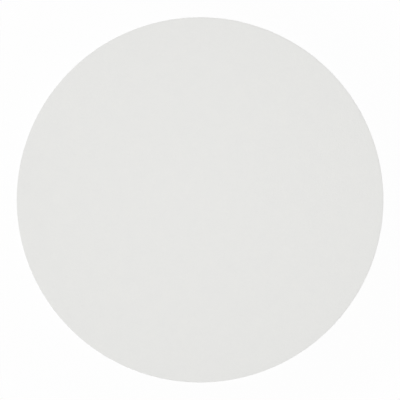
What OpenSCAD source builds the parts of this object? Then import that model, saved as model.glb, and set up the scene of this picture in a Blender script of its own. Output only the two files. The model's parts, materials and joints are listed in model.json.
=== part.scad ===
// Filter paper disc: one round of felted cotton fibre, die-cut and lying with its felt side up.
// The origin is the middle of the underside and +Z goes up through the sheet. Millimetres.
//
// The disc is one profile turned about Z. The cutting ring comes down on the felt side, so
// the sheet is pressed thinner in a narrow band beside the cut, the upper rim is rolled
// over, and the cut wall flares towards the underside, where the disc is widest.

/* [Sheet] */
// Diameter at the underside, over the flare of the cut
disc_d = 110; // [55:1:240]
// Thickness of the sheet away from its rim
sheet_t = 0.18; // [0.14:0.01:0.5]

/* [Cut edge] */
// Width of the band that the cutting ring presses thinner
press_w = 0.6; // [0.3:0.05:1.5]
// How much thinner that band is at the rim
press_depth = 0.03; // [0.01:0.005:0.04]
// Radius of the rolled-over upper rim
rim_r = 0.05; // [0.02:0.005:0.05]
// Lean of the cut wall from upright, in degrees
cut_lean = 6; // [0:1:12]

/* [Hidden] */
disc_r = disc_d / 2;
band_r = disc_r - press_w;               // where the pressed band begins
band_slope = atan(press_depth / press_w); // fall of the pressed band, in degrees
turn_facets = 180;
rim_facets = 48;
paper_white = [0.90, 0.90, 0.895];

// A line is [direction of its outward normal in degrees, distance from the origin to it].
function line_through(point, normal) = [normal, point * [cos(normal), sin(normal)]];
function moved_in(line, depth) = [line[0], line[1] - depth];
function meeting(a, b) =
    [a[1] * sin(b[0]) - b[1] * sin(a[0]), b[1] * cos(a[0]) - a[1] * cos(b[0])]
    / sin(b[0] - a[0]);
function toward(point, direction, distance) =
    point + distance * [cos(direction), sin(direction)];

// The cut wall and the pressed band as lines of the profile, [radius, height].
wall_line = line_through([disc_r, 0], cut_lean);
band_line = line_through([band_r, sheet_t], 90 - band_slope);

// The rolled rim is the circle that touches both of them from inside.
rim_middle = meeting(moved_in(wall_line, rim_r), moved_in(band_line, rim_r));

module disc_profile() {
    polygon([
        [0, 0],
        [disc_r, 0],
        toward(rim_middle, wall_line[0], rim_r),
        rim_middle,
        toward(rim_middle, band_line[0], rim_r),
        [band_r, sheet_t],
        [0, sheet_t],
    ]);
    translate(rim_middle) circle(r = rim_r, $fn = rim_facets);
}

module filter_disc() {
    color(paper_white)
        rotate_extrude($fn = turn_facets)
            disc_profile();
}

filter_disc();
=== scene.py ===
"""Filter paper disc: one round of felted cotton paper, cut by a ring die, lying felt side up.

All lengths are in metres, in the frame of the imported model: the origin is the middle of the
underside and +Z goes up through the sheet. The sheet is one closed shell, made by a Geometry
Nodes tree from the disc's own sizes. The studio round it is a pale floor, an even sky, one
soft lamp from the left and one long soft box overhead, all at a plain level.
"""

from __future__ import annotations

import json
import logging
import math
from dataclasses import dataclass, field
from enum import Enum

import bpy
from mathutils import Euler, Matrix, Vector

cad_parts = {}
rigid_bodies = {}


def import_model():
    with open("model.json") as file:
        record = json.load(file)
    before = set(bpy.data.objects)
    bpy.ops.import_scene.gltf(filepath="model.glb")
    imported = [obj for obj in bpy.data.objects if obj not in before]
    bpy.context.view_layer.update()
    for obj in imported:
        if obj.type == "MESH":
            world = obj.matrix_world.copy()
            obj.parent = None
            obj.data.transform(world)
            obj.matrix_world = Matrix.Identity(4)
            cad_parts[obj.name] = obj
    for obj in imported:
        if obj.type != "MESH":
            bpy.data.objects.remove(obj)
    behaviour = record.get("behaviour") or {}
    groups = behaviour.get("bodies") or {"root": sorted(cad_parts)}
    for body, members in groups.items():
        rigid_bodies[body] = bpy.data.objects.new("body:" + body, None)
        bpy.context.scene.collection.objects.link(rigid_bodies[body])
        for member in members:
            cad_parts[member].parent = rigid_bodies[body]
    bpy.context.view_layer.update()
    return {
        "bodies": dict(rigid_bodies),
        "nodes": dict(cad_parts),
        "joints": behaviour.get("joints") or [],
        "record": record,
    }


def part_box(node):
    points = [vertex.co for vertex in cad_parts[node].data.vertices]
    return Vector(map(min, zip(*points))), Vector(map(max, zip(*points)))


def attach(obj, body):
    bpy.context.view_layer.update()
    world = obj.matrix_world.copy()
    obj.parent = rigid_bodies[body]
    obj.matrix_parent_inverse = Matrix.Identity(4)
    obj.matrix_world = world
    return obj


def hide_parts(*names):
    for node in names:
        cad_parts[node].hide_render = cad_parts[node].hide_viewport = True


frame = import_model()

MM = 0.001
SHEET_NODE = "filter_disc"
SHEET_BODY = "root"
SHEET_SLOT = "filter_paper"
WIRE_MARK = "wire_side"  # face attribute: which side of the paper a face belongs to
MIX_COLOUR_A, MIX_COLOUR_B, MIX_COLOUR = 6, 7, 2  # the Mix node's colour inputs and output

log = logging.getLogger("filter_paper")

Colour = tuple[float, float, float]  # red, green and blue, linear
Place = tuple[float, float, float]
Span = tuple[float, float]
Socket = bpy.types.NodeSocket

WHITE: Colour = (1.0, 1.0, 1.0)
PLAIN_WHITE: Colour = (0.991, 0.991, 0.991)  # what floor and sky show as, away from the sheet


def rgba(colour: Colour) -> tuple[float, float, float, float]:
    """The colour with full alpha."""
    return (*colour, 1.0)


def in_scene(name: str, data: bpy.types.ID) -> bpy.types.Object:
    """Makes an object and puts it in the scene.

    Args:
        name: the object's name.
        data: its mesh, lamp or camera.

    Returns:
        The new object, at the origin.
    """
    new = bpy.data.objects.new(name, data)
    bpy.context.scene.collection.objects.link(new)
    return new


def facing(ray: Vector) -> Euler:
    """The turn that points a lamp or camera along a ray."""
    return ray.to_track_quat("-Z", "Y").to_euler()


class Side(Enum):
    """The two sides of machine-made paper, with their values in the face attribute."""

    FELT = 0.0
    WIRE = 1.0


class LampKind(Enum):
    """Kinds of studio lamp, by Blender's names for them."""

    SUN = "SUN"
    BOX = "AREA"


class Ramp(Enum):
    """Ways to run from one value to another, by Blender's names for them."""

    STRAIGHT = "LINEAR"
    SOFT = "SMOOTHSTEP"


@dataclass(frozen=True)
class Grain:
    """The size of a chance pattern."""

    length: float  # usual distance between two crests
    detail: float  # finer layers on top of the first


class NodeBench:
    """Adds nodes to one tree and links them in the same call."""

    def __init__(self, tree: bpy.types.NodeTree) -> None:
        """Takes the geometry or shader tree to write in."""
        self.tree = tree

    def add(self, kind: str, inputs: dict | None = None, **settings: object) -> bpy.types.Node:
        """Adds one node.

        Args:
            kind: the node's type name.
            inputs: values or sockets, by the input's name or number.
            settings: the node's own properties.

        Returns:
            The new node.
        """
        node = self.tree.nodes.new(kind)
        for name, value in settings.items():
            setattr(node, name, value)
        for name, value in (inputs or {}).items():
            self.feed(node.inputs[name], value)
        return node

    def feed(self, socket: Socket, value: object) -> None:
        """Links a socket to an input, or sets the input's own value.

        Args:
            socket: the input to feed.
            value: an output socket, or a plain value.
        """
        if isinstance(value, Socket):
            self.tree.links.new(value, socket)
        else:
            socket.default_value = value

    def math(self, operation: str, *values: Socket | float) -> Socket:
        """The result of a Math node on up to three numbers or sockets."""
        inputs = dict(enumerate(values))
        return self.add("ShaderNodeMath", inputs, operation=operation).outputs[0]

    def times(self, *values: Socket | float) -> Socket:
        """The product of two or more numbers or sockets.

        Args:
            values: what to multiply.

        Returns:
            The product's socket.
        """
        product = values[0]
        for value in values[1:]:
            product = self.math("MULTIPLY", product, value)
        return product

    def plus(self, *values: Socket | float) -> Socket:
        """The sum of two or more numbers or sockets.

        Args:
            values: what to add up.

        Returns:
            The sum's socket.
        """
        total = values[0]
        for value in values[1:]:
            total = self.math("ADD", total, value)
        return total

    def spread(self, value: Socket, given: Span, wanted: Span, ramp: Ramp = Ramp.STRAIGHT) -> Socket:
        """A number from a given span, turned into one from the wanted span and held to it."""
        limits = dict(enumerate((value, *given, *wanted)))
        return self.add("ShaderNodeMapRange", limits, interpolation_type=ramp.value).outputs[0]

    def centred(self, share: Socket) -> Socket:
        """A number from 0 to 1, spread from -1 to 1."""
        return self.math("MULTIPLY_ADD", share, 2.0, -1.0)

    def noise(self, place: Socket, grain: Grain) -> bpy.types.Node:
        """Chance noise: its first output is a number from 0 to 1, its second a colour."""
        inputs = {"Vector": place, "Scale": 1.0 / grain.length, "Detail": grain.detail}
        return self.add("ShaderNodeTexNoise", inputs)


def blank_material(name: str) -> tuple[bpy.types.Material, NodeBench]:
    """A material whose shader tree is still empty.

    Args:
        name: the material's name.

    Returns:
        The material, and a bench for its tree.
    """
    material = bpy.data.materials.new(name)
    material.use_nodes = True
    material.node_tree.nodes.clear()
    return material, NodeBench(material.node_tree)


# ---------------------------------------------------------------- the sheet


@dataclass(frozen=True)
class CutEdge:
    """What the ring die leaves at the rim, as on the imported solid."""

    band_width: float = 0.6 * MM  # band beside the cut that the die presses thinner
    band_fall: float = 0.03 * MM  # how much thinner it is at the rim
    rim_radius: float = 0.05 * MM  # rolled-over upper rim
    lean: float = math.radians(6.0)  # lean of the cut wall from upright
    rag_depth: float = 0.02 * MM  # how far in the cut is drawn where fibres tore
    rag_length: float = 0.9 * MM  # usual distance between two such places
    rim_rings: int = 5  # rings of points round the rolled rim

    @property
    def band_slope(self) -> float:
        """Fall of the pressed band, as an angle."""
        return math.atan2(self.band_fall, self.band_width)

    def rim_middle(self, thickness: float) -> tuple[float, float]:
        """Where the circle of the rolled rim is centred.

        The circle touches the leaning wall and the pressed band from inside, so its middle is
        where those two lines of the section meet once each is moved in by the rim's radius.

        Args:
            thickness: the sheet's thickness.

        Returns:
            How far in it is from the disc's full radius, and its height above the underside.
        """
        wall, band = self.lean, math.pi / 2 - self.band_slope
        wall_reach = -self.rim_radius
        band_reach = thickness * math.sin(band) - self.band_width * math.cos(band) - self.rim_radius
        turn = math.sin(band - wall)
        out = (wall_reach * math.sin(band) - band_reach * math.sin(wall)) / turn
        height = (band_reach * math.cos(wall) - wall_reach * math.cos(band)) / turn
        return -out, height

    def rim_angles(self) -> list[float]:
        """Directions from the rim's middle to its rings of points.

        Returns:
            Angles above level, from the pressed band down to the cut wall.
        """
        top, bottom = math.pi / 2 - self.band_slope, self.lean
        step = (bottom - top) / (self.rim_rings - 1)
        return [top + step * ring for ring in range(self.rim_rings)]


@dataclass(frozen=True)
class SheetForm:
    """How far the sheet is from a flat plate."""

    cockle_height: float = 0.10 * MM  # slow waves left by drying
    cockle_length: float = 42.0 * MM  # usual distance between two crests, as for the felt's
    felt_height: float = 0.022 * MM  # the felt's soft print on the upper face
    felt_length: float = 3.2 * MM
    seed: float = 7.3
    cells: int = 200  # cells across the sheet; each ring at the rim gets four times as many


class Size(Enum):
    """The named inputs of the sheet's tree."""

    RADIUS = "Radius"
    THICKNESS = "Thickness"
    BAND_WIDTH = "Band Width"
    RIM_RADIUS = "Rim Radius"
    RIM_INSET = "Rim Inset"
    RIM_HEIGHT = "Rim Height"
    COCKLE_HEIGHT = "Cockle Height"
    COCKLE_LENGTH = "Cockle Length"
    FELT_HEIGHT = "Felt Height"
    FELT_LENGTH = "Felt Length"
    RAG_DEPTH = "Rag Depth"
    RAG_LENGTH = "Rag Length"
    SEED = "Seed"
    CELLS = "Cells"
    PAPER = "Paper"

    @property
    def socket_type(self) -> str:
        """Blender's name for the input's kind."""
        kinds = {Size.CELLS: "NodeSocketInt", Size.PAPER: "NodeSocketMaterial"}
        return kinds.get(self, "NodeSocketFloat")


class Swell(Enum):
    """The sheet's chance swellings, each with its own place in the noise."""

    COCKLE = 0.0
    FELT = 11.0
    RAG = 31.0


@dataclass
class SheetTree:
    """The Geometry Nodes tree that makes the sheet as one closed shell."""

    edge: CutEdge
    name: str = "filter_sheet"
    weld: float = 0.001 * MM  # points closer than this become one
    crisp_angle: float = math.radians(50.0)  # edges sharper than this are shaded as corners
    swell_detail: float = 1.0
    swell_roughness: float = 0.45
    tree: bpy.types.GeometryNodeTree = field(init=False)
    bench: NodeBench = field(init=False)
    given: bpy.types.Node = field(init=False)

    def __post_init__(self) -> None:
        """Makes the tree, with its named inputs, and fills it in."""
        self.tree = bpy.data.node_groups.new(self.name, "GeometryNodeTree")
        panel = self.tree.interface
        for size in Size:
            panel.new_socket(size.value, in_out="INPUT", socket_type=size.socket_type)
        panel.new_socket("Sheet", in_out="OUTPUT", socket_type="NodeSocketGeometry")
        self.bench = NodeBench(self.tree)
        self.given = self.bench.add("NodeGroupInput")
        shell = self._closed_shell()
        shell = self._ragged_cut(shell)
        shell = self._waved(shell)
        shell = self._resting(shell)
        self._finished(shell)

    def identifier(self, size: Size) -> str:
        """The identifier of a named input, which a modifier needs to set it."""
        return next(s.identifier for s in self.tree.interface.items_tree if s.name == size.value)

    def _own(self, size: Size) -> Socket:
        """The socket of one of the tree's named inputs."""
        return self.given.outputs[size.value]

    def _place(self, axis: str) -> Socket:
        """One coordinate of each point, as it is where the field is used."""
        place = self.bench.add("GeometryNodeInputPosition").outputs[0]
        return self.bench.add("ShaderNodeSeparateXYZ", {0: place}).outputs[axis]

    def _away(self) -> Socket:
        """How far each point is from the disc's axis.

        Returns:
            The distance's socket.
        """
        x, y = self._place("X"), self._place("Y")
        squares = self.bench.plus(self.bench.times(x, x), self.bench.times(y, y))
        return self.bench.math("SQRT", squares)

    def _point(self, x: Socket | float, y: Socket | float, z: Socket | float) -> Socket:
        """A vector from three coordinates."""
        return self.bench.add("ShaderNodeCombineXYZ", {0: x, 1: y, 2: z}).outputs[0]

    def _put(self, mesh: Socket, position: Socket, selection: Socket | bool = True) -> Socket:
        """The mesh with its selected points moved to a position."""
        inputs = {"Geometry": mesh, "Selection": selection, "Position": position}
        return self.bench.add("GeometryNodeSetPosition", inputs).outputs[0]

    def _scaled(
        self, mesh: Socket, factor: Socket, height: Socket | float, selection: Socket | bool = True
    ) -> Socket:
        """The mesh with its selected points scaled about the axis and put at a height."""
        x, y = (self.bench.times(self._place(axis), factor) for axis in ("X", "Y"))
        return self._put(mesh, self._point(x, y, height), selection)

    def _either(self, test: Socket, yes: Socket, no: Socket) -> Socket:
        """One of two numbers, by a test that gives 1 or 0."""
        choices = {"Switch": test, "False": no, "True": yes}
        return self.bench.add("GeometryNodeSwitch", choices, input_type="FLOAT").outputs[0]

    def _round_grid(self, radius: Socket, height: Socket | float) -> Socket:
        """A flat disc of even quads, facing up.

        A square grid is mapped to a disc ring by ring, so that its cells keep nearly the same
        area from the middle to the rim, and its border points are evenly spaced.

        Args:
            radius: the disc's radius.
            height: the height it lies at.

        Returns:
            The disc's mesh.
        """
        bench = self.bench
        points = bench.plus(self._own(Size.CELLS), 1.0)
        side = 2.0  # from -1 to 1
        square = {"Size X": side, "Size Y": side, "Vertices X": points, "Vertices Y": points}
        grid = bench.add("GeometryNodeMeshGrid", square).outputs["Mesh"]
        a, b = self._place("X"), self._place("Y")
        wide = bench.math("GREATER_THAN", bench.math("ABSOLUTE", a), bench.math("ABSOLUTE", b))
        ring = self._either(wide, a, b)
        share = bench.math("DIVIDE", self._either(wide, b, a), ring)
        angle = bench.times(share, math.pi / 4)
        cosine, sine = bench.math("COSINE", angle), bench.math("SINE", angle)
        reach = bench.times(ring, radius)
        x = bench.times(reach, self._either(wide, cosine, sine))
        y = bench.times(reach, self._either(wide, sine, cosine))
        return self._put(grid, self._point(x, y, height))

    def _ring(
        self, mesh: Socket, border: Socket, radius: Socket, height: Socket | float
    ) -> tuple[Socket, Socket]:
        """Grows the shell by one ring of faces.

        Args:
            mesh: the shell so far.
            border: its border edges.
            radius: the new border's radius.
            height: the new border's height.

        Returns:
            The grown shell, and its new border edges.
        """
        rim = {"Mesh": mesh, "Selection": border, "Offset Scale": 0.0}
        grown = self.bench.add("GeometryNodeExtrudeMesh", rim, mode="EDGES").outputs
        stretch = self.bench.math("DIVIDE", radius, self._away())
        return self._scaled(grown["Mesh"], stretch, height, grown["Top"]), grown["Top"]

    def _closed_shell(self) -> Socket:
        """The shell before its waves: upper face, pressed band, rolled rim, cut wall, underside.

        Returns:
            The closed shell's mesh.
        """
        bench, radius, thickness = self.bench, self._own(Size.RADIUS), self._own(Size.THICKNESS)
        band_start = bench.math("SUBTRACT", radius, self._own(Size.BAND_WIDTH))
        shell = self._round_grid(band_start, thickness)
        faces_on_edge = bench.add("GeometryNodeInputMeshEdgeNeighbors").outputs[0]
        border = bench.math("LESS_THAN", faces_on_edge, 2.0)
        middle = bench.math("SUBTRACT", radius, self._own(Size.RIM_INSET))
        for angle in self.edge.rim_angles():
            out = bench.times(self._own(Size.RIM_RADIUS), math.cos(angle))
            up = bench.times(self._own(Size.RIM_RADIUS), math.sin(angle))
            ring_height = bench.plus(self._own(Size.RIM_HEIGHT), up)
            shell, border = self._ring(shell, border, bench.plus(middle, out), ring_height)
        shell, border = self._ring(shell, border, radius, 0.0)
        under = bench.add("GeometryNodeFlipFaces", {0: self._round_grid(radius, 0.0)}).outputs[0]
        joined = bench.add("GeometryNodeJoinGeometry")
        for part in (self._marked(under, Side.WIRE), self._marked(shell, Side.FELT)):
            bench.feed(joined.inputs[0], part)
        halves = {"Geometry": joined.outputs[0], "Distance": self.weld}
        return bench.add("GeometryNodeMergeByDistance", halves).outputs[0]

    def _marked(self, mesh: Socket, side: Side) -> Socket:
        """Writes on each face which side of the paper it belongs to.

        Args:
            mesh: the faces of one side.
            side: which side that is.

        Returns:
            The same faces, marked.
        """
        mark = {"Geometry": mesh, "Name": WIRE_MARK, "Value": side.value}
        return self.bench.add(
            "GeometryNodeStoreNamedAttribute", mark, data_type="FLOAT", domain="FACE"
        ).outputs[0]

    def _swell(self, swell: Swell, length: Socket) -> Socket:
        """Smooth chance swelling over the sheet, the same on its upper and under side.

        Args:
            swell: which of the sheet's swellings it is.
            length: the usual distance between two crests.

        Returns:
            A field from about -1 to 1.
        """
        bench = self.bench
        noise = bench.add(
            "ShaderNodeTexNoise",
            {
                "Vector": self._point(self._place("X"), self._place("Y"), 0.0),
                "W": bench.plus(self._own(Size.SEED), swell.value),
                "Scale": bench.math("DIVIDE", 1.0, length),
                "Detail": self.swell_detail,
                "Roughness": self.swell_roughness,
            },
            noise_dimensions="4D",
        )
        return bench.centred(noise.outputs[0])

    def _ragged_cut(self, shell: Socket) -> Socket:
        """Draws the cut in a little, here and there, where fibres tore.

        Args:
            shell: the closed shell.

        Returns:
            The shell with its ragged cut.
        """
        bench = self.bench
        wall_start = bench.math("SUBTRACT", self._own(Size.RADIUS), self._own(Size.RIM_INSET))
        outside = bench.math("GREATER_THAN", self._away(), wall_start)
        torn = bench.math("MAXIMUM", self._swell(Swell.RAG, self._own(Size.RAG_LENGTH)), 0.0)
        drawn = bench.times(torn, self._own(Size.RAG_DEPTH), outside)
        keep = bench.math("SUBTRACT", 1.0, bench.math("DIVIDE", drawn, self._own(Size.RADIUS)))
        return self._scaled(shell, keep, self._place("Z"))

    def _waved(self, shell: Socket) -> Socket:
        """Adds the drying waves to the whole sheet and the felt's print to its upper face.

        Args:
            shell: the flat shell.

        Returns:
            The waved shell.
        """
        bench = self.bench
        cockle = bench.times(
            self._swell(Swell.COCKLE, self._own(Size.COCKLE_LENGTH)), self._own(Size.COCKLE_HEIGHT)
        )
        felt = bench.times(
            self._swell(Swell.FELT, self._own(Size.FELT_LENGTH)), self._own(Size.FELT_HEIGHT)
        )
        upper = bench.math("DIVIDE", self._place("Z"), self._own(Size.THICKNESS))
        height = bench.plus(self._place("Z"), cockle, bench.times(felt, upper))
        return self._put(shell, self._point(self._place("X"), self._place("Y"), height))

    def _resting(self, shell: Socket) -> Socket:
        """Sets the sheet down, so that its lowest point is on the table.

        Args:
            shell: the waved shell.

        Returns:
            The shell at its resting height.
        """
        heights = self.bench.add(
            "GeometryNodeAttributeStatistic",
            {"Geometry": shell, "Attribute": self._place("Z")},
            data_type="FLOAT",
            domain="POINT",
        )
        height = self.bench.math("SUBTRACT", self._place("Z"), heights.outputs["Min"])
        return self._put(shell, self._point(self._place("X"), self._place("Y"), height))

    def _finished(self, shell: Socket) -> None:
        """Shades the shell smooth but for its lower corner, and gives it its material.

        Args:
            shell: the finished shape.
        """
        bench = self.bench
        smooth = bench.add("GeometryNodeSetShadeSmooth", {"Geometry": shell, "Shade Smooth": True})
        bend = bench.add("GeometryNodeInputMeshEdgeAngle").outputs["Unsigned Angle"]
        corner = bench.math("GREATER_THAN", bend, self.crisp_angle)
        crisp = bench.add(
            "GeometryNodeSetShadeSmooth",
            {"Geometry": smooth.outputs[0], "Selection": corner, "Shade Smooth": False},
            domain="EDGE",
        )
        real = bench.add("GeometryNodeRealizeInstances", {0: crisp.outputs[0]})
        dress = {"Geometry": real.outputs[0], "Material": self._own(Size.PAPER)}
        dressed = bench.add("GeometryNodeSetMaterial", dress)
        bench.add("NodeGroupOutput", {0: dressed.outputs[0]})


@dataclass(frozen=True)
class PaperFinish:
    """Undyed cotton paper: off-white, dull, a little cloudy, with fibres felted at random."""

    mean: Colour
    name: str = "felted_cotton"
    dense_tint: Colour = (1.008, 1.006, 1.001)  # on the mean colour, where fibres lie thick
    thin_tint: Colour = (0.990, 0.990, 0.990)  # where light sinks in further
    roughness: float = 0.92
    sheen: float = 0.08
    clouds: Grain = Grain(length=4.5 * MM, detail=3.0)  # formation: the cloudiness of the sheet
    flecks: Grain = Grain(length=0.9 * MM, detail=2.0)
    fleck_share: float = 0.4  # share of the flecks in the colour's changes
    colour_span: Span = (0.3, 0.7)  # noise levels that the thin and dense colours stand for
    nap: Grain = Grain(length=1.1 * MM, detail=2.0)  # soft relief too small for the mesh
    nap_height: float = 0.034 * MM
    fibres: Grain = Grain(length=0.24 * MM, detail=1.0)  # across the fibres
    fibre_stretch: float = 6.7  # how many times longer the pattern is along them
    fibre_width: float = 0.33  # how far down the pattern's sides a fibre reaches
    fibre_height: float = 0.009 * MM  # one flat cotton fibre; they pile up where they cross
    fibre_ways: int = 5  # directions that the fibres lie in
    first_way: float = math.radians(11.0)
    curl: Grain = Grain(length=1.1 * MM, detail=1.0)  # bends the fibres
    curl_reach: float = 0.45 * MM
    wire_pitch: float = 0.34 * MM  # weave of the forming wire, printed on the underside
    wire_height: float = 0.015 * MM

    @classmethod
    def from_record(cls, record: dict) -> PaperFinish:
        """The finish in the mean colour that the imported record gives."""
        material = next(m for m in record["materials"] if m["slot"] == SHEET_SLOT)
        return cls(mean=tuple(material["base_color"]))

    def make(self) -> bpy.types.Material:
        """Builds the material.

        Returns:
            A material that reads the piece's own coordinates and its side attribute.
        """
        material, bench = blank_material(self.name)
        place = bench.add("ShaderNodeTexCoord").outputs["Object"]
        bump = {"Strength": 1.0, "Distance": 1.0, "Height": self._relief(bench, place)}
        paper = bench.add(
            "ShaderNodeBsdfPrincipled",
            {
                "Base Color": self._colour(bench, place),
                "Roughness": self.roughness,
                "Sheen Weight": self.sheen,
                "Normal": bench.add("ShaderNodeBump", bump).outputs[0],
            },
        )
        bench.add("ShaderNodeOutputMaterial", {"Surface": paper.outputs[0]})
        return material

    def _tinted(self, tint: Colour) -> tuple[float, float, float, float]:
        """The mean colour times a tint."""
        return rgba(tuple(level * share for level, share in zip(self.mean, tint)))

    def _colour(self, bench: NodeBench, place: Socket) -> Socket:
        """The paper's colour: soft clouds with finer flecks in them.

        Args:
            bench: where the nodes go.
            place: the piece's own coordinates.

        Returns:
            The colour's socket.
        """
        clouds = bench.noise(place, self.clouds).outputs[0]
        flecks = bench.noise(place, self.flecks).outputs[0]
        body = bench.plus(
            bench.times(clouds, 1.0 - self.fleck_share), bench.times(flecks, self.fleck_share)
        )
        shades = {
            "Factor": bench.spread(body, self.colour_span, (0.0, 1.0)),
            MIX_COLOUR_A: self._tinted(self.thin_tint),
            MIX_COLOUR_B: self._tinted(self.dense_tint),
        }
        return bench.add("ShaderNodeMix", shades, data_type="RGBA").outputs[MIX_COLOUR]

    def _relief(self, bench: NodeBench, place: Socket) -> Socket:
        """Height of the surface over the mesh: nap, felted fibres, and the wire's print.

        Args:
            bench: where the nodes go.
            place: the piece's own coordinates.

        Returns:
            The height's socket, in metres.
        """
        nap = bench.times(bench.noise(place, self.nap).outputs[0], self.nap_height)
        felt = bench.times(self._felt(bench, place), self.fibre_height)
        wire = bench.times(self._wire(bench, place), self.wire_height)
        return bench.plus(nap, felt, wire)

    def _felt(self, bench: NodeBench, place: Socket) -> Socket:
        """Crossing fibres: soft crests of noise drawn out long, in one direction after another.

        Args:
            bench: where the nodes go.
            place: the piece's own coordinates.

        Returns:
            How many fibres lie on each other.
        """
        bend = bench.noise(place, self.curl).outputs[1]
        reach = (self.curl_reach,) * 3
        curled = bench.add(
            "ShaderNodeVectorMath", {0: bend, 1: reach, 2: place}, operation="MULTIPLY_ADD"
        ).outputs[0]
        layers = []
        for way in range(self.fibre_ways):
            drawn_out = {
                "Vector": curled,
                "Location": (way, -way, way),  # far apart in the noise, so no two are alike
                "Rotation": (0.0, 0.0, self.first_way + math.pi * way / self.fibre_ways),
                "Scale": (self.fibre_stretch, 1.0, 1.0),
            }
            along = bench.add("ShaderNodeMapping", drawn_out, vector_type="TEXTURE").outputs[0]
            noise = bench.noise(along, self.fibres).outputs[0]
            fold = bench.math("ABSOLUTE", bench.centred(noise))
            layers.append(bench.spread(fold, (0.0, self.fibre_width), (1.0, 0.0), Ramp.SOFT))
        return bench.plus(*layers)

    def _wire(self, bench: NodeBench, place: Socket) -> Socket:
        """The forming wire's weave, on the underside only.

        Args:
            bench: where the nodes go.
            place: the piece's own coordinates.

        Returns:
            The weave's height, from -1 to 1.
        """
        parts = bench.add("ShaderNodeSeparateXYZ", {0: place})
        turns = 2.0 * math.pi / self.wire_pitch
        waves = [bench.math("SINE", bench.times(parts.outputs[axis], turns)) for axis in "XY"]
        side = bench.add("ShaderNodeAttribute", attribute_name=WIRE_MARK, attribute_type="GEOMETRY")
        return bench.times(*waves, side.outputs["Fac"])


@dataclass
class FilterSheet:
    """The disc itself: one sheet of paper."""

    radius: float
    thickness: float
    finish: PaperFinish
    edge: CutEdge = field(default_factory=CutEdge)
    form: SheetForm = field(default_factory=SheetForm)
    name: str = "filter_paper"

    @classmethod
    def from_frame(cls, packed: dict) -> FilterSheet:
        """Reads the sheet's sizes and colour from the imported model.

        Args:
            packed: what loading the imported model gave.

        Returns:
            A sheet of the solid's radius and thickness.
        """
        low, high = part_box(SHEET_NODE)
        radius = max(high.x, high.y, -low.x, -low.y)
        return cls(radius, high.z - low.z, PaperFinish.from_record(packed["record"]))

    def build(self) -> bpy.types.Object:
        """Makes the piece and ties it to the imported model.

        Returns:
            The finished piece, at the origin.
        """
        piece = in_scene(self.name, self._mesh(self.finish.make()))
        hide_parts(SHEET_NODE)
        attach(piece, SHEET_BODY)
        return piece

    def _mesh(self, paper: bpy.types.Material) -> bpy.types.Mesh:
        """Runs the sheet's tree once and keeps its result.

        Args:
            paper: the sheet's material.

        Returns:
            A plain mesh with that material.
        """
        sheet_tree = SheetTree(self.edge)
        maker = in_scene("sheet_maker", bpy.data.meshes.new("sheet_maker"))
        modifier = maker.modifiers.new("sheet", "NODES")
        modifier.node_group = sheet_tree.tree
        for size, value in {**self._sizes(), Size.PAPER: paper}.items():
            modifier[sheet_tree.identifier(size)] = value
        graph = bpy.context.evaluated_depsgraph_get()
        mesh = bpy.data.meshes.new_from_object(maker.evaluated_get(graph), depsgraph=graph)
        maker.modifiers.remove(modifier)
        bpy.data.objects.remove(maker)
        mesh.name = self.name
        mesh.materials.clear()  # the tree leaves an empty slot before the paper's
        mesh.materials.append(paper)
        return mesh

    def _sizes(self) -> dict[Size, float | int]:
        """What the tree's inputs are set to.

        Returns:
            Each size's value.
        """
        rim_inset, rim_height = self.edge.rim_middle(self.thickness)
        return {
            Size.RADIUS: self.radius,
            Size.THICKNESS: self.thickness,
            Size.BAND_WIDTH: self.edge.band_width,
            Size.RIM_RADIUS: self.edge.rim_radius,
            Size.RIM_INSET: rim_inset,
            Size.RIM_HEIGHT: rim_height,
            Size.COCKLE_HEIGHT: self.form.cockle_height,
            Size.COCKLE_LENGTH: self.form.cockle_length,
            Size.FELT_HEIGHT: self.form.felt_height,
            Size.FELT_LENGTH: self.form.felt_length,
            Size.RAG_DEPTH: self.edge.rag_depth,
            Size.RAG_LENGTH: self.edge.rag_length,
            Size.SEED: self.form.seed,
            Size.CELLS: self.form.cells,
        }


# ---------------------------------------------------------------- the studio


def seen_directly(bench: NodeBench) -> Socket:
    """Tells rays that show a surface from rays that only light others with it.

    Args:
        bench: where the nodes go.

    Returns:
        1 for camera, glossy and transmission rays, else 0.
    """
    rays = bench.add("ShaderNodeLightPath").outputs
    seen = bench.math("MAXIMUM", rays["Is Camera Ray"], rays["Is Glossy Ray"])
    return bench.math("MAXIMUM", seen, rays["Is Transmission Ray"])


@dataclass(frozen=True)
class FloorFinish:
    """White table top, which shows as plain white a little way off from the sheet."""

    name: str = "table_white"
    plain: Colour = PLAIN_WHITE
    matt: Colour = (0.99, 0.99, 0.99)
    near: float = 57.0 * MM  # up to this far from the middle the floor shows its shadows most
    far: float = 80.0 * MM  # past this it is plain white
    near_plain: float = 0.5  # share of plain white near the sheet

    def make(self) -> bpy.types.Material:
        """Builds the floor's material.

        Returns:
            A dull white that keeps soft shadows near the sheet.
        """
        material, bench = blank_material(self.name)
        place = bench.add("ShaderNodeTexCoord").outputs["Object"]
        away = bench.add("ShaderNodeVectorMath", {0: place}, operation="LENGTH").outputs["Value"]
        share = bench.spread(away, (self.near, self.far), (self.near_plain, 1.0))
        matt = bench.add("ShaderNodeBsdfDiffuse", {"Color": rgba(self.matt)})
        plain = bench.add("ShaderNodeEmission", {"Color": rgba(self.plain), "Strength": 1.0})
        mix = {0: bench.times(share, seen_directly(bench)), 1: matt.outputs[0], 2: plain.outputs[0]}
        top = bench.add("ShaderNodeMixShader", mix)
        bench.add("ShaderNodeOutputMaterial", {"Surface": top.outputs[0]})
        return material


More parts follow.
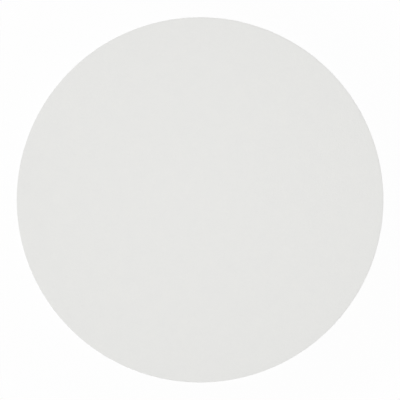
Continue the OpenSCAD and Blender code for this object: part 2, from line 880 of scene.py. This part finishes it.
@dataclass(frozen=True)
class Lamp:
    """One studio lamp, aimed at a point."""

    name: str
    kind: LampKind
    place: Place
    power: float  # a sun's in watts per square metre, a box's in watts
    size: float  # a sun's angle, or a box's width from left to right
    depth: float = 0.0  # a box's width from front to back
    aim: Place = (0.0, 0.0, 0.0)

    def build(self) -> bpy.types.Object:
        """Hangs the lamp.

        Returns:
            The lamp's object.
        """
        data = bpy.data.lights.new(self.name, self.kind.value)
        data.energy = self.power
        if self.kind is LampKind.SUN:
            data.angle = self.size
        else:
            data.shape = "ELLIPSE"
            data.size, data.size_y = self.size, self.depth
        lamp = in_scene(self.name, data)
        lamp.location = self.place
        lamp.rotation_euler = facing(Vector(self.aim) - Vector(self.place))
        return lamp


@dataclass(frozen=True)
class Camera:
    """The camera, which looks down on the sheet from a little in front."""

    lens: float = 100.0  # focal length, in millimetres
    sensor: float = 36.0  # width, in millimetres
    distance: float = 333.52 * MM
    elevation: float = math.radians(85.1)
    aim: Place = (0.007 * MM, -0.80 * MM, 0.0)

    def build(self) -> bpy.types.Object:
        """Sets the camera up and makes it the scene's own.

        Returns:
            The camera's object.
        """
        data = bpy.data.cameras.new("camera")
        data.lens = self.lens
        data.sensor_width = self.sensor
        camera = in_scene("camera", data)
        back = Vector((0.0, -math.cos(self.elevation), math.sin(self.elevation)))
        camera.location = Vector(self.aim) + back * self.distance
        camera.rotation_euler = facing(-back)
        bpy.context.scene.camera = camera
        return camera


@dataclass
class Studio:
    """Floor, sky, lamps and camera round the sheet."""

    floor_side: float = 12.0
    floor_drop: float = 0.01 * MM  # keeps the floor just clear of the sheet's lowest point
    floor_finish: FloorFinish = field(default_factory=FloorFinish)
    sky_light: float = 0.339
    sky_tint: Colour = WHITE
    sky_plain: Colour = PLAIN_WHITE
    sun: Lamp = Lamp(
        name="left_sun",
        kind=LampKind.SUN,
        place=(-1.0, -0.4, 1.3),
        power=0.7304,
        size=math.radians(25.0),
    )
    box: Lamp = Lamp(
        name="overhead_box",
        kind=LampKind.BOX,
        place=(-0.012, 0.004, 0.365),
        power=0.72,
        size=0.32,
        depth=0.06,
        aim=(-0.012, 0.004, 0.0),
    )
    camera: Camera = field(default_factory=Camera)

    def build(self) -> list[bpy.types.Object]:
        """Sets the whole studio up.

        Returns:
            The floor, the lamps and the camera.
        """
        self._sky()
        return [self._floor(), self.sun.build(), self.box.build(), self.camera.build()]

    def _floor(self) -> bpy.types.Object:
        """Lays the floor.

        Returns:
            The floor.
        """
        half, height = self.floor_side / 2, -self.floor_drop
        signs = ((-1, -1), (1, -1), (1, 1), (-1, 1))
        corners = [(x * half, y * half, height) for x, y in signs]
        mesh = bpy.data.meshes.new("table_top")
        mesh.from_pydata(corners, [], [(0, 1, 2, 3)])
        mesh.materials.append(self.floor_finish.make())
        floor = in_scene("table_top", mesh)
        return floor

    def _sky(self) -> None:
        """Gives even light from all round, from a sky that shows as plain white."""
        world = bpy.data.worlds.new("studio_sky")
        world.use_nodes = True
        world.node_tree.nodes.clear()
        bench = NodeBench(world.node_tree)
        even = {"Color": rgba(self.sky_tint), "Strength": self.sky_light}
        light = bench.add("ShaderNodeBackground", even)
        plain = bench.add("ShaderNodeBackground", {"Color": rgba(self.sky_plain), "Strength": 1.0})
        mix = {0: seen_directly(bench), 1: light.outputs[0], 2: plain.outputs[0]}
        sky = bench.add("ShaderNodeMixShader", mix)
        bench.add("ShaderNodeOutputWorld", {"Surface": sky.outputs[0]})
        bpy.context.scene.world = world


def main() -> None:
    """Builds the sheet, then the studio round it."""
    logging.basicConfig(level=logging.INFO, format="%(name)s: %(message)s")
    bpy.context.scene.view_settings.view_transform = "Standard"
    sheet = FilterSheet.from_frame(frame).build()
    log.info("piece %s, %d faces", sheet.name, len(sheet.data.polygons))
    for fitting in Studio().build():
        log.info("studio %s", fitting.name)


if __name__ == "__main__":
    main()
